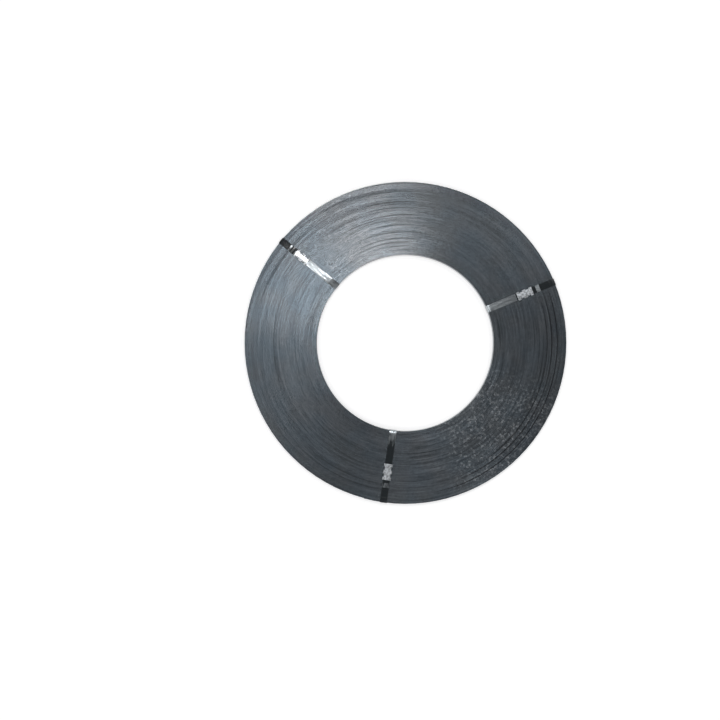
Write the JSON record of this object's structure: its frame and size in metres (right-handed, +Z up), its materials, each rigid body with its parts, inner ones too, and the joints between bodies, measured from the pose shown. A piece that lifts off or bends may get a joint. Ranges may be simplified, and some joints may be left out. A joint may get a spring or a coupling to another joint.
{
  "type": "steel strapping coil",
  "caption": "Flat ring of dark steel strap wound turn on turn round an open bore, held by crimped tie straps; strapping stock that drops over a dispenser hub.",
  "frame": {"origin": "on the coil's axis, on the floor under the tie straps", "axes": "+Z up along the coil's axis; seen from above, +X is the picture's right and +Y its top"},
  "size_m": [0.7408, 0.7407, 0.0236],
  "materials": {
    "coil_steel": "blued steel strap, slit edges showing",
    "tie_lacquer": "glossy black lacquer",
    "seal_zinc": "bright zinc, crimped"
  },
  "bodies": {
    "root": {"wound_coil": "coil_steel", "tie_strap_1": "tie_lacquer", "tie_strap_2": "tie_lacquer", "tie_strap_3": "tie_lacquer", "seal_1": "seal_zinc", "seal_2": "seal_zinc", "seal_3": "seal_zinc"}
  },
  "joints": []
}
